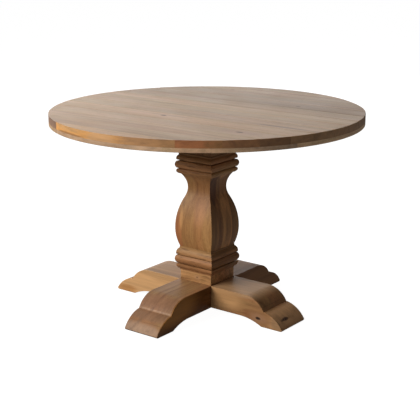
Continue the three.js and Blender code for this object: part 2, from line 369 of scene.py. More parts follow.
@dataclass(frozen=True)
class WoodFinish:
    """A lacquered wood: its colours, the strength of its figure and its sheen.

    The figure is made of growth rings round a pith that lies beside the piece, broad bands of
    tone, long streaks, fine fibres and short dark pores.
    """

    name: str
    dark: Colour
    middle: Colour
    light: Colour
    roughness: float = 0.5
    ring_contrast: float = 0.16
    band_contrast: float = 0.5
    streak_contrast: float = 0.45
    pore_strength: float = 0.5
    fleck_strength: float = 0.15
    hue_variation: float = 0.8
    sheen: float = 0.5

    def toned(self, colour: Colour, timber: Timber) -> Colour:
        """A colour of the finish, at a piece's own tone and warmth.

        Args:
            colour: The finish's colour.
            timber: The piece.

        Returns:
            The piece's colour.
        """
        warm = (1 + 0.5 * timber.warmth, 1.0, 1 - 0.8 * timber.warmth)
        return tuple(c * timber.tone * w for c, w in zip(colour, warm))

    def material(self, timber: Timber, piece: str) -> bpy.types.Material:
        """Make the material of one piece.

        Args:
            timber: The piece's grain, figure and tone.
            piece: The piece's name.

        Returns:
            The material.
        """
        bench = NodeBench(f"{self.name}_{piece}")
        # Each seed lays the piece at a place of its own in the endless pattern.
        shift = (timber.seed * 0.731 % 3, timber.seed * 0.417 % 2, timber.seed * 0.293 % 2)
        place = bench.placed(timber.grain.value, shift)
        tone, height = self._figure(bench, timber, place)
        colour = self._coloured(bench, timber, place, tone)
        for level in timber.layers:
            colour = self._layered(bench, level, timber, colour)
        if timber.edge:
            colour = bench.mixed(self._rim(bench), colour, self._lit(bench, timber.edge, tone))
        for patch in timber.patches:
            colour = self._patched(bench, patch, colour, tone)
        for knot in timber.knots:
            colour, height = self._knotted(bench, knot, timber, colour, height)
        worn = bench.noise(place, (6.0, 9.0, 9.0), 3.0)
        relief = {"Strength": 0.35, "Distance": 0.6 * MM, "Height": height}
        bench.feed(
            Base_Color=colour,
            Roughness=self.roughness + 0.16 * (worn - 0.5) - 0.10 * (height - 0.5),
            Specular_IOR_Level=self.sheen,
            Normal=bench.node("ShaderNodeBump", None, relief),
        )
        return bench.material

    def _figure(self, bench: NodeBench, timber: Timber, place: Wire) -> tuple[Wire, Wire]:
        """Growth rings, bands, streaks and fibres, as a tone and a height.

        Args:
            bench: The material's bench.
            timber: The piece.
            place: Coordinates with X along the grain.

        Returns:
            The tone, about 0.5, and the surface's height.
        """
        parts = bench.node("ShaderNodeSeparateXYZ", None, {0: place}).socket.node.outputs
        along, across, through = (Wire(bench, parts[axis]) for axis in "XYZ")
        sway = bench.noise(place, (1.1, 4.0, 4.0), 2.0) - 0.5
        pith_side, pith_depth = 0.5 + 0.35 * math.sin(timber.seed * 2.3), 0.9
        side, depth = across - pith_side + sway * 0.07, through - pith_depth + sway * 0.05
        radius = (side * side + depth * depth) ** 0.5
        ring = bench.node("ShaderNodeCombineXYZ", None, {0: along * 0.35, 1: radius, 2: timber.seed})
        bands = bench.noise(ring, (1.0, 42.0, 1.0), 2.0)
        rings = bench.noise(ring, (1.0, 210.0, 1.0), 3.0, 0.7)
        broad = bench.noise(place, (0.8, 7.0, 7.0), 2.0, 0.45)
        streak = bench.noise(place, (1.8, 60.0, 60.0), 3.0, 0.6)
        fibre = bench.noise(place, (16.0, 620.0, 620.0), 2.0, 0.6)
        tone = (
            0.5
            + ((broad - 0.5) * 0.6 + (bands - 0.5) * 0.7) * (self.band_contrast * 2.2)
            + (streak - 0.5) * (self.streak_contrast * 2.0)
            + (rings - 0.5) * (self.ring_contrast * 3.0)
            + (fibre - 0.5) * 0.35
        )
        height = fibre * 0.6 + streak * 0.25 + rings * 0.15
        return tone, height

    def _coloured(self, bench: NodeBench, timber: Timber, place: Wire, tone: Wire) -> Wire:
        """Give the tone its colours, with redder and greener zones, and draw the pores.

        Args:
            bench: The material's bench.
            timber: The piece.
            place: Coordinates with X along the grain.
            tone: The figure's tone.

        Returns:
            The colour.
        """
        stops = [(0.08, self.toned(self.dark, timber)), (0.5, self.toned(self.middle, timber)),
                 (0.92, self.toned(self.light, timber))]
        colour = bench.node("ShaderNodeValToRGB", {"stops": stops}, {0: tone})
        hue = bench.noise(place, (1.7, 13.0, 13.0), 2.0).between(0.36, 0.64)
        tints = bench.mixed(hue, (1.08, 0.97, 0.96), (0.95, 1.03, 0.96))
        colour = bench.mixed(self.hue_variation, colour, tints, "MULTIPLY")
        pores = bench.noise(place, (46.0, 850.0, 850.0), 1.0).between(0.60, 0.72)
        flecks = bench.noise(place, (15.0, 190.0, 190.0), 1.0).between(0.56, 0.68)
        speck = self.toned(tuple(c * 0.45 for c in self.dark), timber)
        colour = bench.mixed(flecks * self.fleck_strength, colour, speck)
        return bench.mixed(pores * self.pore_strength, colour, speck)

    @staticmethod
    def _lit(bench: NodeBench, colour: Colour, tone: Wire) -> Wire:
        """Give one colour the wood's own figure.

        Args:
            bench: The material's bench.
            colour: The colour at the middle tone.
            tone: The figure's tone.

        Returns:
            The colour, darker and lighter with the tone.
        """
        dark, light = (tuple(c * f for c in colour) for f in (0.55, 1.35))
        stops = [(0.1, dark), (0.5, colour), (0.9, light)]
        return bench.node("ShaderNodeValToRGB", {"stops": stops}, {0: tone})

    def _patched(self, bench: NodeBench, patch: Patch, colour: Wire, tone: Wire) -> Wire:
        """Lay one patch into the wood, ragged where the figure runs through its border.

        Args:
            bench: The material's bench.
            patch: The patch.
            colour: The wood's colour.
            tone: The figure's tone.

        Returns:
            The colour with the patch.
        """
        near = bench.distance(patch.at, tuple(1 / r for r in patch.reach))
        mask = (near + (tone - 0.5) * 0.9).between(1.1, 0.5) * patch.strength
        if patch.facing:
            side = bench.vector("DOT_PRODUCT", bench.here(), patch.facing, "Value")
            mask = mask * side.between(-0.6 * MM, 0.6 * MM)
        if patch.on_rim:
            mask = mask * self._rim(bench)
        return bench.mixed(mask, colour, self._lit(bench, patch.colour, tone))

    @staticmethod
    def _rim(bench: NodeBench) -> Wire:
        """Where the surface lies on the top's round outer edge, as a mask."""
        reach = bench.distance(ORIGIN, (1.0, 1.0, 0.0))
        return reach.between(TOP_RADIUS - 1.9 * MM, TOP_RADIUS - 0.5 * MM)

    def _knotted(self, bench: NodeBench, knot: Knot, timber: Timber, colour: Wire,
                 height: Wire) -> tuple[Wire, Wire]:
        """Lay a knot into the wood, with a stained halo drawn out along the grain.

        Args:
            bench: The material's bench.
            knot: The knot.
            timber: The piece.
            colour: The wood's colour.
            height: The surface's height.

        Returns:
            The colour and the height with the knot.
        """
        stretch = {Grain.ALONG_X: (0.55, 1, 1), Grain.ALONG_Y: (1, 0.55, 1),
                   Grain.UPRIGHT: (1, 1, 0.55)}[timber.grain]
        ragged = bench.noise(bench.here(), (60.0, 60.0, 60.0), 2.0)
        reach = bench.distance(knot.at, stretch) * (0.7 + ragged * 0.6)
        halo = reach.between(knot.radius * 4.5, knot.radius)
        heart = reach.between(knot.radius * 1.15, knot.radius * 0.55)
        swirl = (reach * (9.0 / knot.radius)).wave() * 0.5 + 0.5
        colour = bench.mixed(halo * (knot.halo_strength * (0.7 + 0.3 * swirl)), colour,
                             self.toned(knot.halo, timber))
        colour = bench.mixed(heart * knot.dark, colour, (0.035, 0.018, 0.010))
        return colour, height - heart * 0.9

    def _layered(self, bench: NodeBench, level: float, timber: Timber, colour: Wire) -> Wire:
        """Darken a glue line, and the lamination under it a little.

        Args:
            bench: The material's bench.
            level: The glue line's height over the floor.
            timber: The piece.
            colour: The wood's colour.

        Returns:
            The colour with the glue line.
        """
        above = bench.node("ShaderNodeSeparateXYZ", None, {0: bench.here()}, "Z") - level
        line = abs(above).between(1.1 * MM, 0.3 * MM)
        below = above.between(0.4 * MM, -0.4 * MM)
        warm = tuple(c * w for c, w in zip(self.toned(self.middle, timber), (0.86, 0.78, 0.70)))
        colour = bench.mixed(below * 0.3, colour, warm)
        return bench.mixed(line * 0.28, colour, (0.05, 0.028, 0.016))


@dataclass(frozen=True)
class MetalFinish:
    """Zinc-plated steel with a little tarnish."""

    name: str = "zinc"
    bright: Colour = (0.62, 0.62, 0.60)
    dull: Colour = (0.34, 0.33, 0.30)

    def material(self) -> bpy.types.Material:
        """Make the material.

        Returns:
            The material, for every steel piece.
        """
        bench = NodeBench(self.name)
        place = bench.here()
        tarnish = bench.noise(place, (90, 90, 90), 4.0).between(0.35, 0.75)
        scratch = bench.noise(place, (900, 900, 60), 2.0)
        bench.feed(
            Base_Color=bench.mixed(tarnish, self.bright, self.dull),
            Metallic=1.0,
            Roughness=0.28 + tarnish * 0.25 + scratch * 0.1,
        )
        return bench.material


@dataclass(frozen=True)
class NylonFinish:
    """Dark moulded nylon, scuffed where it slides."""

    name: str = "nylon"
    body: Colour = (0.045, 0.040, 0.036)
    scuffed: Colour = (0.16, 0.15, 0.14)

    def material(self) -> bpy.types.Material:
        """Make the material.

        Returns:
            The material, for every glide.
        """
        bench = NodeBench(self.name)
        place = bench.here()
        scuff = bench.noise(place, (160, 500, 60), 3.0).between(0.5, 0.7)
        bench.feed(
            Base_Color=bench.mixed(scuff * 0.6, self.body, self.scuffed),
            Roughness=0.45 + scuff * 0.3,
        )
        return bench.material


TOP_WOOD = WoodFinish(
    "top_wood", (0.19, 0.108, 0.055), (0.36, 0.222, 0.120), (0.48, 0.32, 0.185),
    roughness=0.46, ring_contrast=0.12, band_contrast=0.42, streak_contrast=0.42,
    hue_variation=0.45,
)
RIM_WOOD = WoodFinish(
    "rim_wood", (0.27, 0.155, 0.080), (0.53, 0.34, 0.195), (0.69, 0.48, 0.30),
    roughness=0.5, band_contrast=0.4, hue_variation=0.4,
)
COLUMN_WOOD = WoodFinish(
    "column_wood", (0.15, 0.065, 0.020), (0.315, 0.144, 0.046), (0.45, 0.225, 0.080),
    roughness=0.52, band_contrast=0.45, streak_contrast=0.5, ring_contrast=0.12,
    hue_variation=0.5, sheen=0.3,
)
MOULDING_WOOD = WoodFinish(
    "moulding_wood", (0.135, 0.061, 0.021), (0.285, 0.138, 0.053), (0.40, 0.21, 0.090),
    roughness=0.55, streak_contrast=0.6, ring_contrast=0.16, fleck_strength=0.5, sheen=0.22,
)
FOOT_WOOD = WoodFinish(
    "foot_wood", (0.16, 0.075, 0.029), (0.335, 0.170, 0.073), (0.48, 0.27, 0.125),
    roughness=0.48, band_contrast=0.32, streak_contrast=0.36, ring_contrast=0.11, sheen=0.14,
)
HIDDEN_WOOD = WoodFinish(
    "hidden_wood", (0.20, 0.125, 0.070), (0.33, 0.22, 0.13), (0.43, 0.30, 0.19),
    roughness=0.75,
)
ZINC = MetalFinish()
NYLON = NylonFinish()


# ------------------------------------------------------------------ joinery


class OutlinePen:
    """Draws a piece's side outline in the X-Z plane by moving one vertex along it."""

    def __init__(self, mesh: bmesh.types.BMesh, x: float, z: float) -> None:
        """Set the pen down.

        Args:
            mesh: The mesh to draw in.
            x: The first point's x.
            z: The first point's z.
        """
        self.mesh = mesh
        self.start = self.tip = mesh.verts.new((x, 0.0, z))

    def line_to(self, x: float, z: float) -> "OutlinePen":
        """Draw a straight line.

        Args:
            x: The end point's x.
            z: The end point's z.

        Returns:
            The pen, at the end point.
        """
        made = bmesh.ops.extrude_vert_indiv(self.mesh, verts=[self.tip])
        self.tip = made["verts"][0]
        self.tip.co = (x, 0.0, z)
        return self

    def arc_through(
        self, middle: tuple[float, float], end: tuple[float, float], steps: int = 12
    ) -> "OutlinePen":
        """Draw the circle's arc through a middle point to an end point.

        Args:
            middle: A point on the arc.
            end: The arc's last point.
            steps: The arc's edges.

        Returns:
            The pen, at the end point.
        """
        sx, sz = self.tip.co.x, self.tip.co.z
        mx, mz = middle[0] - sx, middle[1] - sz
        ex, ez = end[0] - sx, end[1] - sz
        cross = 2 * (mx * ez - mz * ex)
        cx = (ez * (mx * mx + mz * mz) - mz * (ex * ex + ez * ez)) / cross
        cz = (mx * (ex * ex + ez * ez) - ex * (mx * mx + mz * mz)) / cross
        sweep = math.atan2(ez - cz, ex - cx) - math.atan2(-cz, -cx)
        sweep = sweep % (2 * math.pi) if cross > 0 else -(-sweep % (2 * math.pi))
        made = bmesh.ops.spin(
            self.mesh, geom=[self.tip], cent=(sx + cx, 0.0, sz + cz), axis=(0.0, -1.0, 0.0),
            dvec=(0.0, 0.0, 0.0), angle=sweep, steps=steps, use_duplicate=False,
        )
        self.tip = next(v for v in made["geom_last"] if isinstance(v, bmesh.types.BMVert))
        self.tip.co = (end[0], 0.0, end[1])
        return self

    def closed(self) -> bmesh.types.BMFace:
        """Join the last point to the first, and fill the outline.

        Returns:
            The outline's face.
        """
        self.mesh.edges.new((self.tip, self.start))
        made = bmesh.ops.contextual_create(self.mesh, geom=self.mesh.edges[:])
        return made["faces"][0]


@dataclass
class Joiner:
    """Turns finished meshes into pieces of the table."""

    smooth_angle: float = math.radians(32)

    def finish(
        self, mesh: bmesh.types.BMesh, node: str, wood: WoodFinish, timber: Timber
    ) -> None:
        """Make a mesh the piece that stands for a CAD node.

        Args:
            mesh: The finished mesh, in the table's own frame. It is freed.
            node: The CAD node's name.
            wood: The piece's finish.
            timber: The piece's own figure.
        """
        bmesh.ops.remove_doubles(mesh, verts=mesh.verts[:], dist=1e-6)
        bmesh.ops.recalc_face_normals(mesh, faces=mesh.faces[:])
        data = bpy.data.meshes.new(f"{node}_fine")
        mesh.to_mesh(data)
        mesh.free()
        data.polygons.foreach_set("use_smooth", [True] * len(data.polygons))
        data.set_sharp_from_angle(angle=self.smooth_angle)
        data.materials.append(wood.material(timber, node))
        piece = bpy.data.objects.new(f"{node}_fine", data)
        bpy.context.scene.collection.objects.link(piece)
        weighted = piece.modifiers.new("flat_faces", "WEIGHTED_NORMAL")
        weighted.keep_sharp = True
        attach(piece, "root")
        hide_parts(node)
        log.info("%s: %d faces", piece.name, len(data.polygons))

    def keep(self, node: str, material: bpy.types.Material) -> None:
        """Give a CAD node that stays in view its material.

        Args:
            node: The CAD node's name.
            material: The node's material.
        """
        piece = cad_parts[node]
        piece.data.materials.clear()
        piece.data.materials.append(material)
        log.info("%s: kept", node)

    @staticmethod
    def whole(mesh: bmesh.types.BMesh) -> list[Any]:
        """Every vertex, edge and face of a mesh."""
        return mesh.verts[:] + mesh.edges[:] + mesh.faces[:]

    @staticmethod
    def new_verts(made: dict[str, list]) -> list[bmesh.types.BMVert]:
        """The vertices among the geometry that an operator made."""
        return [part for part in made["geom"] if isinstance(part, bmesh.types.BMVert)]

    def pushed(self, mesh: bmesh.types.BMesh, face: bmesh.types.BMFace, depth: float) -> None:
        """Push an outline in the X-Z plane along Y, and centre it on y = 0.

        Args:
            mesh: The outline's mesh.
            face: The outline.
            depth: How deep the piece becomes.
        """
        bmesh.ops.translate(mesh, verts=mesh.verts[:], vec=(0.0, -depth / 2, 0.0))
        far = self.new_verts(bmesh.ops.extrude_face_region(mesh, geom=[face]))
        bmesh.ops.translate(mesh, verts=far, vec=(0.0, depth, 0.0))

    @staticmethod
    def eased(
        mesh: bmesh.types.BMesh, edges: Iterable[bmesh.types.BMEdge], width: float, steps: int = 2
    ) -> None:
        """Round the given edges.

        Args:
            mesh: The mesh.
            edges: Its edges to round.
            width: The rounding's width.
            steps: The rounding's facets.
        """
        bmesh.ops.bevel(
            mesh, geom=list(edges), offset=width, segments=steps, profile=0.5, affect="EDGES",
            material=-1, clamp_overlap=True,
        )

    @staticmethod
    def turned(mesh: bmesh.types.BMesh, angle: float) -> None:
        """Turn a mesh about the table's axis."""
        bmesh.ops.rotate(mesh, verts=mesh.verts[:], cent=ORIGIN,
                         matrix=Matrix.Rotation(angle, 3, "Z"))

    @staticmethod
    def sawn(mesh: bmesh.types.BMesh, place: Vector, normal: Vector) -> None:
        """Saw off what lies on the normal's side of a plane, and close the cut.

        Args:
            mesh: The mesh to saw.
            place: A point on the plane.
            normal: The plane's normal, towards the waste.
        """
        made = bmesh.ops.bisect_plane(mesh, geom=Joiner.whole(mesh), dist=1e-7, plane_co=place,
                                      plane_no=normal, clear_outer=True)
        cut = [e for e in made["geom_cut"] if isinstance(e, bmesh.types.BMEdge)]
        bmesh.ops.holes_fill(mesh, edges=[e for e in cut if e.is_boundary], sides=0)


JOINER = Joiner()


# ------------------------------------------------------------------ the round top


@dataclass
class RoundTop:
    """Thirteen boards cut to a disc, and the eight segments glued under their edge."""

    facets: int = 360
    edge_round: float = 2.5 * MM
    seam_ease: float = 0.45 * MM
    segments: int = 8
    steps: int = 45

    def board(self, node: str) -> bmesh.types.BMesh:
        """Cut one board from the disc.

        Args:
            node: The board's CAD node.

        Returns:
            The board, with its round edge sanded and its seams eased.
        """
        low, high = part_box(node)
        mesh = bmesh.new()
        bmesh.ops.create_circle(mesh, cap_ends=True, radius=TOP_RADIUS, segments=self.facets)
        for y, side in ((low.y, -1), (high.y, 1)):
            bmesh.ops.bisect_plane(mesh, geom=JOINER.whole(mesh), dist=1e-7, plane_co=(0, y, 0),
                                   plane_no=(0, side, 0), clear_outer=True)
        bmesh.ops.translate(mesh, verts=mesh.verts[:], vec=(0, 0, low.z))
        upper = JOINER.new_verts(bmesh.ops.extrude_face_region(mesh, geom=mesh.faces[:]))
        bmesh.ops.translate(mesh, verts=upper, vec=(0, 0, high.z - low.z))
        rim = [e for e in mesh.edges if all(
            v.co.z > high.z - 1e-6 and v.co.xy.length > TOP_RADIUS - MM for v in e.verts)]
        JOINER.eased(mesh, rim, self.edge_round, 4)
        mesh.normal_update()
        seams = [f for f in mesh.faces if abs(f.normal.y) > 0.999 and
                 min(abs(f.calc_center_median().y - y) for y in (low.y, high.y)) < 1e-5]
        JOINER.eased(mesh, {e for f in seams for e in f.edges}, self.seam_ease, 2)
        return mesh

    def rim(self, index: int) -> bmesh.types.BMesh:
        """Bend one segment of the rim.

        Args:
            index: How many segments it lies past the +X axis.

        Returns:
            The segment, with its lower edge sanded.
        """
        low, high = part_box("rim_segment_1")
        half = math.pi / self.segments
        inner = low.x / math.cos(half)
        mesh = bmesh.new()
        section = OutlinePen(mesh, inner, low.z).line_to(TOP_RADIUS, low.z)
        section.line_to(TOP_RADIUS, high.z).line_to(inner, high.z).closed()
        half -= GLUE_GAP / 2 / TOP_RADIUS
        JOINER.turned(mesh, -half)
        bmesh.ops.spin(mesh, geom=JOINER.whole(mesh), cent=ORIGIN, axis=(0, 0, 1), dvec=ORIGIN,
                       angle=2 * half, steps=self.steps, use_duplicate=False)
        bmesh.ops.recalc_face_normals(mesh, faces=mesh.faces[:])
        lower = [e for e in mesh.edges if all(
            v.co.z < low.z + 1e-6 and v.co.xy.length > TOP_RADIUS - MM for v in e.verts)]
        JOINER.eased(mesh, lower, self.edge_round, 4)
        JOINER.turned(mesh, index * 2 * math.pi / self.segments)
        return mesh

    @staticmethod
    def board_timbers() -> list[Timber]:
        """Choose the thirteen boards' own figures.

        Returns:
            One timber for each board, from -Y to +Y.
        """
        tones = (1.14, 0.95, 1.01, 1.00, 1.05, 0.99, 0.98, 1.03, 0.88, 0.76, 0.79, 0.95, 0.98)
        warmths = (0.18, 0.10, 0.08, 0.02, 0.05, 0.0, -0.02, 0.02, 0.0, 0.02, 0.0, 0.0, 0.0)
        knots = {
            4: (Knot((0.361, -0.294, TABLE_TOP), 9 * MM, 0.75),),
            5: (Knot((-0.050, -0.197, TABLE_TOP), 8 * MM),),
            10: (Knot((0.24, 0.262, TABLE_TOP), 6 * MM, 0.7),),
            12: (Knot((-0.21, 0.455, TABLE_TOP), 6 * MM, 0.6),),
        }
        plain_edge = (0.37, 0.195, 0.085)
        edges = {1: (0.60, 0.29, 0.085), 2: (0.42, 0.155, 0.055), 3: (0.31, 0.140, 0.054),
                 4: (0.25, 0.120, 0.050)}
        rim = 0.765
        patches = {
            1: (
                Patch((0.20, -0.56, rim), (0.17, 0.1, 0.05), (0.40, 0.205, 0.085), 0.9, on_rim=True),
                Patch((0.00, -0.59, rim), (0.07, 0.1, 0.05), (0.54, 0.30, 0.135), 0.8, on_rim=True),
                Patch((-0.17, -0.57, 0.756), (0.10, 0.1, 0.006), (0.24, 0.11, 0.04), on_rim=True),
                Patch((-0.20, -0.56, TABLE_TOP), (0.16, 0.05, 0.02), (0.52, 0.31, 0.14), 0.5),
            ),
            2: (
                Patch((-0.35, -0.48, rim), (0.15, 0.1, 0.05), (0.245, 0.150, 0.100), 0.95,
                      on_rim=True),
                Patch((0.43, -0.42, rim), (0.11, 0.1, 0.05), (0.33, 0.16, 0.055), on_rim=True),
            ),
            4: (Patch((0.361, -0.294, TABLE_TOP), (0.10, 0.022, 0.02), (0.26, 0.13, 0.075), 0.5),),
            5: (
                Patch((-0.16, -0.205, TABLE_TOP), (0.10, 0.022, 0.02), (0.44, 0.25, 0.15), 0.6),
                Patch((-0.02, -0.185, TABLE_TOP), (0.12, 0.010, 0.02), (0.24, 0.13, 0.07), 0.5),
            ),
            6: (Patch((0.42, -0.127, TABLE_TOP), (0.13, 0.010, 0.02), (0.17, 0.098, 0.055), 0.85),),
            7: (Patch((0.05, -0.042, TABLE_TOP), (0.22, 0.010, 0.02), (0.22, 0.130, 0.075), 0.75),),
            10: (Patch((0.20, 0.27, TABLE_TOP), (0.22, 0.020, 0.02), (0.22, 0.13, 0.074), 0.7),),
        }
        return [
            Timber(Grain.ALONG_X, 3.1 + 1.7 * i, tone, warmth, knots.get(i, ()),
                   patches=patches.get(i, ()), edge=edges.get(i, plain_edge))
            for i, (tone, warmth) in enumerate(zip(tones, warmths), 1)
        ]

    def rim_timbers(self) -> list[Timber]:
        """Choose the rim segments' own figures, with painted bounce light where the key light falls off.

        Returns:
            One timber for each segment, counted on from the +X axis.
        """
        # From the front-left round to +X the segments grow lighter as the key light falls off: painted
        # bounce light.
        tones = {0: 1.75, 5: 0.84, 6: 0.76, 7: 1.12}
        patches = {
            6: (Patch((0.20, -0.560, 0.747), (0.09, 0.1, 0.1), (0.58, 0.37, 0.22), 0.9),),
            7: (Patch((0.34, -0.487, 0.747), (0.10, 0.1, 0.1), (0.76, 0.46, 0.26)),
                Patch((0.52, -0.29, 0.747), (0.11, 0.15, 0.1), (0.50, 0.32, 0.20))),
        }
        return [
            Timber(Grain.ALONG_Y if i in (0, 1, 4, 5) else Grain.ALONG_X, 40.3 + 2.9 * i,
                   tones.get(i, 1.0), patches=patches.get(i, ()))
            for i in range(self.segments)
        ]

    def build(self) -> None:
        """Build and dress the boards and the rim."""
        for i, timber in enumerate(self.board_timbers(), 1):
            node = f"top_board_{i:02d}"
            JOINER.finish(self.board(node), node, TOP_WOOD, timber)
        for i, timber in enumerate(self.rim_timbers()):
            node = f"rim_segment_{i + 1}"
            JOINER.finish(self.rim(i), node, RIM_WOOD, timber)


# ------------------------------------------------------------------ the column


@dataclass
class VaseColumn:
    """The square, vase-shaped column of three planks."""

    core: float = 62 * MM
    neck: float = 53.3 * MM
    belly: float = 89 * MM
    neck_arc: float = 85 * MM
    lower_arc: float = 218 * MM
    neck_level: float = 482 * MM
    belly_level: float = 322 * MM
    vase_bottom: float = 247 * MM
    vase_top: float = 537 * MM
    arris: float = 1.4 * MM
    levels: int = 72

    def half_width(self, z: float) -> float:
        """The vase's half width at a level, from its three arcs.

        Args:
            z: The level.

        Returns:
            The half width.
        """
        if z <= self.belly_level:
            drop = self.belly_level - z
            return self.belly - self.lower_arc + math.sqrt(self.lower_arc**2 - drop**2)
        rise = self.neck_level - self.belly_level
        overlap = self.neck + self.neck_arc - self.belly
        upper = (overlap**2 + rise**2 - self.neck_arc**2) / (2 * (self.neck_arc - overlap))
        meet = self.belly_level + rise * upper / (upper + self.neck_arc)
        if z <= meet:
            return self.belly - upper + math.sqrt(upper**2 - (z - self.belly_level) ** 2)
        return self.neck + self.neck_arc - math.sqrt(
            self.neck_arc**2 - (z - self.neck_level) ** 2)

    def body(self) -> bmesh.types.BMesh:
        """The whole column before it is told apart into planks.

        Returns:
            The closed column.
        """
        low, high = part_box("column_plank_front")
        mesh = bmesh.new()
        pen = OutlinePen(mesh, self.core, low.z).line_to(self.core, self.vase_bottom)
        for i in range(self.levels + 1):
            z = self.vase_bottom + (self.vase_top - self.vase_bottom) * i / self.levels
            pen.line_to(self.half_width(z), z)
        pen.line_to(self.core, self.vase_top).line_to(self.core, high.z)
        near = mesh.verts[:]
        far = JOINER.new_verts(bmesh.ops.extrude_edge_only(mesh, edges=mesh.edges[:]))
        for side, verts in ((-1, near), (1, far)):
            for vert in verts:
                vert.co.y = side * vert.co.x
        bmesh.ops.spin(mesh, geom=JOINER.whole(mesh), cent=ORIGIN, axis=(0, 0, 1), dvec=ORIGIN,
                       angle=3 * QUARTER_TURN, steps=3, use_duplicate=True)
        bmesh.ops.remove_doubles(mesh, verts=mesh.verts[:], dist=1e-6)
        bmesh.ops.holes_fill(mesh, edges=[e for e in mesh.edges if e.is_boundary], sides=0)
        bmesh.ops.recalc_face_normals(mesh, faces=mesh.faces[:])
        corners = [e for e in mesh.edges if
                   abs(e.verts[0].co.z - e.verts[1].co.z) > 1e-6 and
                   all(abs(abs(v.co.x) - abs(v.co.y)) < 1e-6 for v in e.verts)]
        JOINER.eased(mesh, corners, self.arris, 3)
        return mesh

    def build(self) -> None:
        """Build and dress the three planks."""
        corner = (1.0, 1.0, 0.0)
        planks = {
            "front": Timber(Grain.UPRIGHT, 12.4, 1.0, 0.0, patches=(
                Patch((-0.075, -0.09, 0.29), (0.022, 0.05, 0.11), (0.36, 0.125, 0.045), 0.7),
                Patch((-0.06, -0.09, 0.36), (0.010, 0.05, 0.05), (0.56, 0.28, 0.10), 0.6),
                Patch((0.03, -0.09, 0.40), (0.04, 0.05, 0.08), (0.44, 0.21, 0.095), 0.5),
                Patch((0.07, -0.070, 0.38), (0.06, 0.038, 0.24), (0.190, 0.090, 0.029), 0.85, corner),
                Patch((0.055, -0.040, 0.49), (0.05, 0.035, 0.07), (0.13, 0.052, 0.022), 0.85, corner),
            )),
            "middle": Timber(Grain.UPRIGHT, 15.9, 1.62, -0.10, patches=(
                Patch((0.06, 0.0, 0.49), (0.03, 0.1, 0.05), (0.26, 0.115, 0.040), 0.8),
                Patch((0.09, 0.022, 0.33), (0.05, 0.015, 0.10), (0.29, 0.135, 0.042), 0.75),
            )),
            "back": Timber(Grain.UPRIGHT, 19.2, 0.82, 0.02),
        }
        for place, timber in planks.items():
            node = f"column_plank_{place}"
            low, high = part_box(node)
            mesh = self.body()
            if place != "front":
                JOINER.sawn(mesh, Vector((0, low.y, 0)), Vector((0, -1, 0)))
            if place != "back":
                JOINER.sawn(mesh, Vector((0, high.y, 0)), Vector((0, 1, 0)))
            JOINER.finish(mesh, node, COLUMN_WOOD, timber)


@dataclass
class SquareMoulding:
    """Four mitred strips round the column, each with the same face of three beads."""

    name: str
    seed: float
    tone: float = 1.0
    core: float = 62.3 * MM
    sides: tuple[str, ...] = ("right", "back", "left", "front")

    def face(self, pen: OutlinePen) -> None:
        """Draw the moulding's face, upwards, with a pen at the core."""
        raise NotImplementedError

    def strip(self) -> bmesh.types.BMesh:
        """One strip, on the +X side, with its mitred ends.

        Returns:
            The strip.
        """
        low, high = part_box(f"{self.name}_right")
        mesh = bmesh.new()
        pen = OutlinePen(mesh, self.core, low.z)
        self.face(pen)
        pen.line_to(self.core, high.z)
        face = pen.closed()
        near = mesh.verts[:]
        far = JOINER.new_verts(bmesh.ops.extrude_face_region(mesh, geom=[face]))
        mitre = GLUE_GAP / 2 * math.sqrt(2)
        for side, verts in ((-1, near), (1, far)):
            for vert in verts:
                vert.co.y = side * (vert.co.x - mitre)
        return mesh

    def build(self) -> None:
        """Build and dress the four strips."""
        for i, side in enumerate(self.sides):
            node = f"{self.name}_{side}"
            grain = Grain.ALONG_Y if side in ("right", "left") else Grain.ALONG_X
            tone = self.tone * (1.0 + 0.06 * math.sin(3.1 * i))
            timber = Timber(grain, self.seed + 3.7 * i, tone)
            mesh = self.strip()
            JOINER.turned(mesh, i * QUARTER_TURN)
            JOINER.finish(mesh, node, MOULDING_WOOD, timber)


@dataclass
class UpperMoulding(SquareMoulding):
    """A sharp lip over the vase's neck, a broad bead, and a small ogee under the capital."""

    def face(self, pen: OutlinePen) -> None:
        """Draw the moulding's face from its lower edge to its upper edge.

        Args:
            pen: The pen, at the strip's inner lower edge.
        """
        low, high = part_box(f"{self.name}_right")
        pen.line_to(78.5 * MM, low.z).line_to(79.5 * MM, 539 * MM)
        pen.arc_through((84.7 * MM, 547 * MM), (81 * MM, 555.5 * MM))
        pen.line_to(75.5 * MM, 556.3 * MM).line_to(75.5 * MM, 558 * MM)
        pen.line_to(83 * MM, 558.7 * MM)
        pen.arc_through((88.4 * MM, 572 * MM), (83.4 * MM, 585.6 * MM))
        pen.line_to(75.5 * MM, 587 * MM).line_to(75.5 * MM, 589.6 * MM)
        pen.line_to(83.4 * MM, 591 * MM)
        pen.arc_through((83.6 * MM, 601.5 * MM), (77.5 * MM, 610 * MM))
        pen.line_to(77.5 * MM, high.z)


@dataclass
class LowerMoulding(SquareMoulding):
    """A hollow over the plinth, a broad bead, and a round that rises to the vase."""

    def face(self, pen: OutlinePen) -> None:
        """Draw the moulding's face from its lower edge to its upper edge.

        Args:
            pen: The pen, at the strip's inner lower edge.
        """
        low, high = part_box(f"{self.name}_right")
        pen.line_to(76.5 * MM, low.z).line_to(76.5 * MM, 156 * MM)
        pen.arc_through((82.5 * MM, 160.5 * MM), (86 * MM, 168 * MM))
        pen.line_to(86 * MM, 176.2 * MM)
        pen.line_to(77 * MM, 177 * MM).line_to(77 * MM, 178.8 * MM)
        pen.line_to(84 * MM, 179.6 * MM)
        pen.arc_through((90.8 * MM, 195.5 * MM), (84.9 * MM, 211.2 * MM))
        pen.line_to(77 * MM, 212 * MM).line_to(77 * MM, 213.8 * MM)
        pen.line_to(86.4 * MM, 214.6 * MM)
        pen.arc_through((85.6 * MM, 228.5 * MM), (76.5 * MM, 241 * MM))
        pen.line_to(76.5 * MM, high.z)


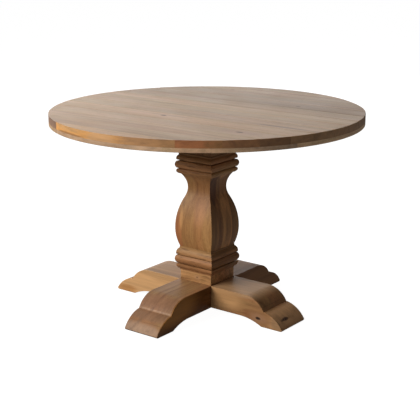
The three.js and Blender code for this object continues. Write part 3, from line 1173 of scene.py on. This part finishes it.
@dataclass
class EndBlocks:
    """The square blocks above and below the column."""

    arris: float = 1.0 * MM

    def block(self, node: str) -> bmesh.types.BMesh:
        """A block that fills its CAD node's box, with its arrises eased.

        Args:
            node: The block's CAD node.

        Returns:
            The block.
        """
        low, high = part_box(node)
        mesh = bmesh.new()
        bmesh.ops.create_cube(mesh, size=1.0)
        bmesh.ops.scale(mesh, verts=mesh.verts[:], vec=high - low)
        bmesh.ops.translate(mesh, verts=mesh.verts[:], vec=(low + high) / 2)
        JOINER.eased(mesh, mesh.edges[:], self.arris, 3)
        return mesh

    def build(self) -> None:
        """Build and dress the capital and the plinth."""
        capital = Timber(Grain.UPRIGHT, 61.0, 0.85)
        JOINER.finish(self.block("capital_block"), "capital_block", COLUMN_WOOD, capital)
        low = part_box("plinth_block")[0]
        knot = Knot((8 * MM, low.y, 133 * MM), 3.2 * MM, 0.6, halo_strength=0.12)
        plinth = Timber(Grain.ALONG_X, 66.0, 1.72, -0.08, (knot,))
        JOINER.finish(self.block("plinth_block"), "plinth_block", MOULDING_WOOD, plinth)


# ------------------------------------------------------------------ the feet


@dataclass
class CrossedFeet:
    """Two foot beams with arched undersides and stepped toes, half-lapped at the middle."""

    shoulder: float = 238 * MM
    shoulder_arc: float = 96 * MM
    step: tuple[float, float] = (322 * MM, 62.5 * MM)
    toe_middle: tuple[float, float] = (371 * MM, 43.5 * MM)
    sole_start: float = 312 * MM
    arch: float = 25 * MM
    arch_end: float = 213 * MM
    arch_curve: tuple[float, float] = (265 * MM, 18.6 * MM)
    arris: float = 3.4 * MM
    layers: tuple[float, ...] = (75 * MM, 38 * MM)

    def half(self, pen: OutlinePen, side: int, reach: float, top: float, sole: float) -> None:
        """Draw one arm's outline from the arch's middle round the toe to the top.

        Args:
            pen: The pen, at the arch's middle.
            side: 1 for the arm on +X and -1 for the arm on -X, drawn the other way round.
            reach: From the table's axis to the toe's tip.
            top: The beam's upper face.
            sole: The toe's lower face.
        """
        ankle = self.step[0] - self.shoulder
        hip = top - self.shoulder_arc
        halfway = math.radians(60)
        knee = (self.shoulder + self.shoulder_arc * math.cos(halfway),
                hip + self.shoulder_arc * math.sin(halfway))
        path = [
            ("line", (self.arch_end, self.arch)),
            ("arc", self.arch_curve, (self.sole_start, sole)),
            ("line", (reach - 4 * MM, sole)),
            ("line", (reach, sole + 5 * MM)),
            ("arc", self.toe_middle, (self.step[0] + 2.5 * MM, self.step[1] - 0.6 * MM)),
            ("line", (self.step[0] + 0.6 * MM, self.step[1] - 3 * MM)),
            ("line", (self.step[0], hip + math.sqrt(self.shoulder_arc**2 - ankle**2))),
            ("arc", knee, (self.shoulder, top)),
        ]
        self._draw(pen, path if side > 0 else self._reversed(path), side)

    @staticmethod
    def _reversed(path: list[tuple]) -> list[tuple]:
        """Turn a path round.

        Args:
            path: The strokes, each with its kind and its points.

        Returns:
            The strokes from the path's end to its start, without its last point.
        """
        ends = [stroke[-1] for stroke in path]
        turned = []
        for i in range(len(path) - 1, 0, -1):
            turned.append((*path[i][:-1], ends[i - 1]))
        return turned

    @staticmethod
    def _draw(pen: OutlinePen, path: list[tuple], side: int) -> None:
        """Draw a path's strokes on one side of the table's axis.

        Args:
            pen: The pen, at the path's start.
            path: The strokes, each with its kind and its points.
            side: 1 for +X and -1 for -X.
        """
        for stroke in path:
            points = [(side * x, z) for x, z in stroke[1:]]
            if stroke[0] == "line":
                pen.line_to(*points[0])
            else:
                pen.arc_through(points[0], points[1], 14)

    def beam(self, node: str, lapped_above: bool) -> bmesh.types.BMesh:
        """One beam along X, with its half lap cut from above or below.

        Args:
            node: The beam's CAD node.
            lapped_above: Whether the lap is cut into the beam's upper side.

        Returns:
            The beam.
        """
        low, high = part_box(node)
        reach = max(high.x, high.y)
        width = 2 * min(high.x, high.y)
        lap = width / 2 + GLUE_GAP
        middle = high.z / 2
        mesh = bmesh.new()
        if lapped_above:
            pen = OutlinePen(mesh, 0.0, self.arch)
            self.half(pen, 1, reach, high.z, low.z)
            pen.line_to(lap, high.z).line_to(lap, middle - GLUE_GAP / 2)
            pen.line_to(-lap, middle - GLUE_GAP / 2).line_to(-lap, high.z)
            pen.line_to(-self.shoulder, high.z)
            self.half(pen, -1, reach, high.z, low.z)
            pen.line_to(-self.arch_end, self.arch)
        else:
            pen = OutlinePen(mesh, lap, middle + GLUE_GAP / 2)
            pen.line_to(lap, self.arch)
            self.half(pen, 1, reach, high.z, low.z)
            pen.line_to(-self.shoulder, high.z)
            self.half(pen, -1, reach, high.z, low.z)
            pen.line_to(-self.arch_end, self.arch)
            pen.line_to(-lap, self.arch).line_to(-lap, middle + GLUE_GAP / 2)
        JOINER.pushed(mesh, pen.closed(), width)
        bmesh.ops.recalc_face_normals(mesh, faces=mesh.faces[:])
        mesh.normal_update()
        cheeks = [f for f in mesh.faces if abs(f.normal.y) > 0.999]
        JOINER.eased(mesh, {e for f in cheeks for e in f.edges}, self.arris, 3)
        return mesh

    def build(self) -> None:
        """Build and dress the two beams."""
        front = -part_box("foot_beam_along")[1].y
        cheek, outer = (0.0, -1.0, 0.0), (1.0, 0.0, 0.0)
        skin = 6.5 * MM
        along = Timber(Grain.ALONG_X, 71.5, 1.0, 0.03, (
            Knot((0.298, front, 0.032), 6.5 * MM, 1.0),
            Knot((0.384, -0.024, 0.0326), 3.2 * MM, 1.0),
        ), self.layers, (
            # The arms' lighter tops are painted sheen, standing in for the low specular level; on the +X
            # arm also painted light over the plinth's cast shadow.
            Patch((0.17, 0.0, 0.112), (0.16, 0.2, 0.02), (0.50, 0.30, 0.155), 0.85),
            Patch((-0.2, 0.0, 0.112), (0.16, 0.2, 0.02), (0.375, 0.225, 0.122), 0.85),
            # The +X toe faces away from the key light; its lighter colour here is painted bounce light.
            Patch((0.375, 0.0, 0.040), (0.06, 0.2, 0.05), (0.64, 0.36, 0.175), 0.8, outer),
            Patch((0.384, -0.024, 0.033), (0.0065, 0.027, 0.02), (0.035, 0.018, 0.010), 0.95),
            Patch((-0.22, front, 0.055), (0.34, skin, 0.20), (0.61, 0.345, 0.155), 0.95, cheek),
            Patch((-0.35, front, 0.012), (0.06, skin, 0.022), (0.42, 0.19, 0.06), 0.8, cheek),
            Patch((0.13, front, 0.075), (0.11, skin, 0.05), (0.50, 0.27, 0.115), 0.85, cheek),
            Patch((0.265, front, 0.040), (0.045, skin, 0.020), (0.23, 0.092, 0.038), 0.8, cheek),
            Patch((0.31, front, 0.045), (0.07, skin, 0.05), (0.29, 0.140, 0.056), 0.85, cheek),
            Patch((0.385, front, 0.028), (0.035, skin, 0.05), (0.29, 0.165, 0.080), 0.8, cheek),
            Patch((0.301, front, 0.031), (0.011, skin, 0.0055), (0.012, 0.007, 0.004), 1.0),
        ))
        across = Timber(Grain.ALONG_Y, 77.7, 0.92, -0.02, (), self.layers, (
            Patch((0.0, 0.22, 0.112), (0.12, 0.16, 0.02), (0.215, 0.104, 0.044), 0.9),
            # A light line along the hump's lower edge: painted highlight, partly edge wear.
            Patch((0.0, -0.3195, 0.066), (0.12, 0.0045, 0.0045), (0.48, 0.30, 0.19), 0.6),
            Patch((0.0, -0.30, 0.095), (0.12, 0.06, 0.035), (0.235, 0.112, 0.061), 0.75),
            Patch((0.0, -0.35, 0.055), (0.12, 0.05, 0.017), (0.25, 0.130, 0.068), 0.8),
            Patch((0.0, -0.395, 0.018), (0.12, 0.05, 0.022), (0.365, 0.225, 0.140), 0.8),
            # The -Y arm's +X cheek faces away from the key light: darker and redder there, painted
            # shade.
            Patch((-front, -0.25, 0.05), (skin, 0.24, 0.15), (0.108, 0.036, 0.005), 0.97, outer),
            Patch((-front, -0.32, 0.075), (0.004, 0.18, 0.070), (0.335, 0.140, 0.028), 0.95, outer),
            # Painted shade on the +Y arm's +X cheek, which faces away from the key light.
            Patch((-front, 0.25, 0.05), (skin, 0.24, 0.15), (0.22, 0.095, 0.032), 0.9, outer),
        ))
        JOINER.finish(self.beam("foot_beam_along", True), "foot_beam_along", FOOT_WOOD, along)
        mesh = self.beam("foot_beam_across", False)
        JOINER.turned(mesh, QUARTER_TURN)
        JOINER.finish(mesh, "foot_beam_across", FOOT_WOOD, across)


# ------------------------------------------------------------------ hidden frame and ironmongery


@dataclass
class HiddenFrame:
    """The bearers, cleats, screws, glides and tie rod, which keep their CAD shapes."""

    beams: dict[str, Grain] = field(default_factory=lambda: {
        "bearer_along": Grain.ALONG_X, "bearer_across": Grain.ALONG_Y,
        "cleat_left": Grain.ALONG_Y, "cleat_right": Grain.ALONG_Y,
    })

    def build(self) -> None:
        """Dress every piece."""
        for i, (node, grain) in enumerate(self.beams.items()):
            timber = Timber(grain, 90.0 + 3.3 * i, 0.95 + 0.05 * i)
            JOINER.keep(node, HIDDEN_WOOD.material(timber, node))
        zinc = ZINC.material()
        nylon = NYLON.material()
        for node in sorted(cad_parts):
            if "screw" in node or node.startswith("tie_rod"):
                JOINER.keep(node, zinc)
            elif node.startswith("glide"):
                JOINER.keep(node, nylon)


# ------------------------------------------------------------------ the studio


@dataclass
class Studio:
    """A pale floor, soft light from the left, and the camera."""

    distance: float = 3.948
    azimuth: float = math.radians(37.23)
    aside: float = -0.0028
    height: float = 1.4569
    pitch: float = math.radians(15.17)
    lens: float = 90.45
    floor_size: float = 120.0

    def floor(self) -> None:
        """Lay the floor."""
        mesh = bmesh.new()
        bmesh.ops.create_grid(mesh, x_segments=1, y_segments=1, size=self.floor_size / 2)
        data = bpy.data.meshes.new("floor")
        mesh.to_mesh(data)
        mesh.free()
        bench = NodeBench("pale_floor")
        bench.feed(Base_Color=(0.22, 0.22, 0.22, 1.0), Roughness=0.9,
                   Emission_Color=(1.0, 1.0, 1.0, 1.0), Emission_Strength=0.97,
                   Specular_IOR_Level=0.0)
        data.materials.append(bench.material)
        floor = bpy.data.objects.new("floor", data)
        floor.visible_diffuse = False
        floor.visible_glossy = False
        bpy.context.scene.collection.objects.link(floor)

    def softbox(self, name: str, place: Place, size: tuple[float, float], power: float,
                tint: Colour = (1.0, 1.0, 1.0), target: Place = (0.0, 0.0, 0.45)) -> None:
        """Hang one softbox that faces the table.

        Args:
            name: The light's name.
            place: Where it hangs.
            size: Its width and height.
            power: Its power, in watts.
            tint: Its colour.
            target: The point that it faces.
        """
        light = bpy.data.lights.new(name, "AREA")
        light.shape = "RECTANGLE"
        light.size, light.size_y = size
        light.energy = power
        light.color = tint
        lamp = bpy.data.objects.new(name, light)
        lamp.location = place
        towards = Vector(target) - Vector(place)
        lamp.rotation_euler = towards.to_track_quat("-Z", "Y").to_euler()
        lamp.visible_camera = False
        bpy.context.scene.collection.objects.link(lamp)

    def sky(self, fill: float) -> None:
        """Make the world white to the camera and a dim fill to everything else.

        Args:
            fill: The fill's strength.
        """
        world = bpy.data.worlds.new("studio")
        bpy.context.scene.world = world
        world.use_nodes = True
        tree = world.node_tree
        seen = tree.nodes.new("ShaderNodeLightPath")
        strength = tree.nodes.new("ShaderNodeMapRange")
        strength.inputs["To Min"].default_value = fill
        strength.inputs["To Max"].default_value = 1.0
        background = tree.nodes["Background"]
        background.inputs["Color"].default_value = (1.0, 1.0, 1.0, 1.0)
        tree.links.new(seen.outputs["Is Camera Ray"], strength.inputs["Value"])
        tree.links.new(strength.outputs["Result"], background.inputs["Strength"])

    def camera(self) -> None:
        """Set up the camera."""
        data = bpy.data.cameras.new("camera")
        data.lens = self.lens
        data.sensor_width = 36.0
        data.clip_end = 400.0
        camera = bpy.data.objects.new("camera", data)
        camera.location = (self.distance * math.sin(self.azimuth),
                           -self.distance * math.cos(self.azimuth), self.height)
        camera.rotation_euler = (QUARTER_TURN - self.pitch, 0.0, self.azimuth + self.aside)
        bpy.context.scene.collection.objects.link(camera)
        bpy.context.scene.camera = camera

    def build(self) -> None:
        """Build the floor, the lights and the camera."""
        bpy.context.scene.view_settings.view_transform = "Standard"
        self.floor()
        self.sky(0.12)
        self.softbox("key", (-2.56, -4.10, 2.75), (5.0, 1.7), 315.0, (1.0, 0.98, 0.95))
        self.softbox("overhead", (-2.2, 0.1, 2.8), (2.4, 2.4), 44.0)
        self.softbox("backdrop", (-4.2, 4.2, 1.7), (5.6, 2.4), 80.0)
        self.softbox("bounce", (0.0, 0.0, 0.003), (6.0, 6.0), 15.0)
        self.camera()


def main() -> None:
    """Build the studio and every sub-assembly of the table, in order."""
    logging.basicConfig(level=logging.INFO, format="%(name)s: %(message)s")
    Studio().build()
    RoundTop().build()
    VaseColumn().build()
    UpperMoulding("upper_moulding", 21.0, 1.3).build()
    LowerMoulding("lower_moulding", 31.0, 1.10).build()
    EndBlocks().build()
    CrossedFeet().build()
    HiddenFrame().build()


if __name__ == "__main__":
    main()
